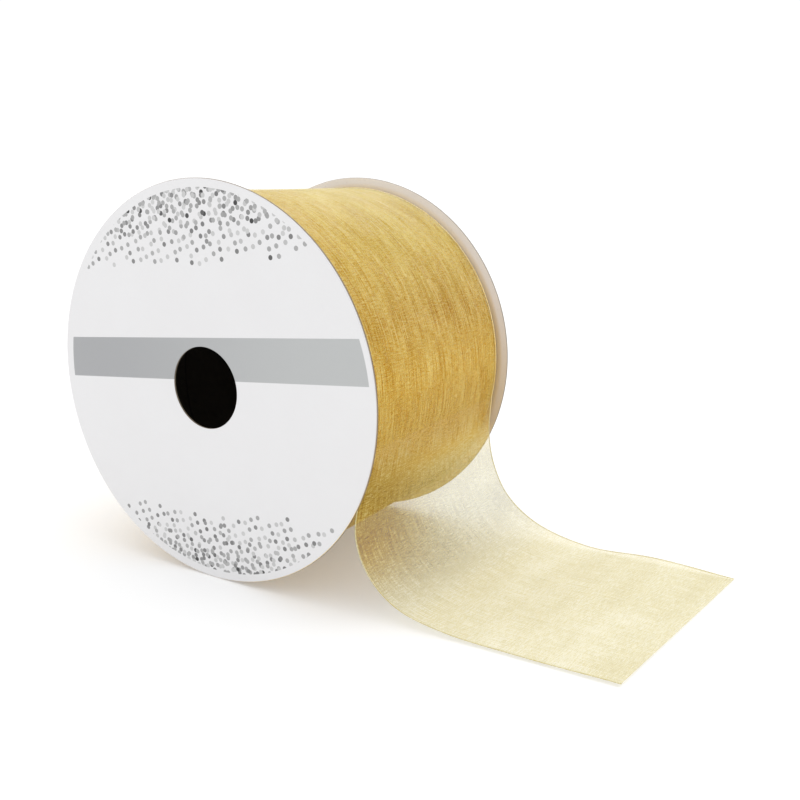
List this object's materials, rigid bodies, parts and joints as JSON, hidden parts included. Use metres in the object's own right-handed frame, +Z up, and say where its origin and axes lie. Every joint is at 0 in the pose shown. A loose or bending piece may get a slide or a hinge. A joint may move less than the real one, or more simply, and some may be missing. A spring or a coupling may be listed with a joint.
{
  "type": "ribbon spool",
  "caption": "Round chipboard spool of sheer gold ribbon, standing on its two flanges, with the ribbon's loose end laid on the table.",
  "frame": {"origin": "on the table under the middle of the whole object, loose end included", "axes": "+Z up; the spool's axis runs along Y and the printed face looks along -Y; +X towards the ribbon's loose end"},
  "size_m": [0.1634, 0.0672, 0.099],
  "materials": {
    "flange_board": "uncoated pinkish grey chipboard, matt, with a cut edge",
    "printed_facing": "white coated paper with a grey printed band and scattered grey dots, satin",
    "plain_facing": "white coated paper, satin",
    "core_board": "spiral-wound brown paperboard, matt",
    "glue": "dried hot-melt glue, slightly waxy",
    "clear_tape": "clear adhesive tape",
    "wound_ribbon": "many layers of sheer gold organza, satin sheen round the roll",
    "sheer_ribbon": "one layer of sheer pale gold organza with woven selvedges"
  },
  "bodies": {
    "ribbon_end": {"outer_turn": "wound_ribbon", "loose_tail": "sheer_ribbon"},
    "spool": {"front_flange": "flange_board", "rear_flange": "flange_board", "front_facing": "printed_facing", "rear_facing": "plain_facing", "core_tube": "core_board", "front_core_glue": "glue", "rear_core_glue": "glue", "start_tape": "clear_tape", "ribbon_roll": "wound_ribbon"}
  },
  "joints": [
    {"name": "spool_spin", "type": "hinge", "parent": "ribbon_end", "child": "spool", "pos_m": [-0.03216, 0, 0.0495], "axis": [0, 1, 0], "continuous": true}
  ]
}
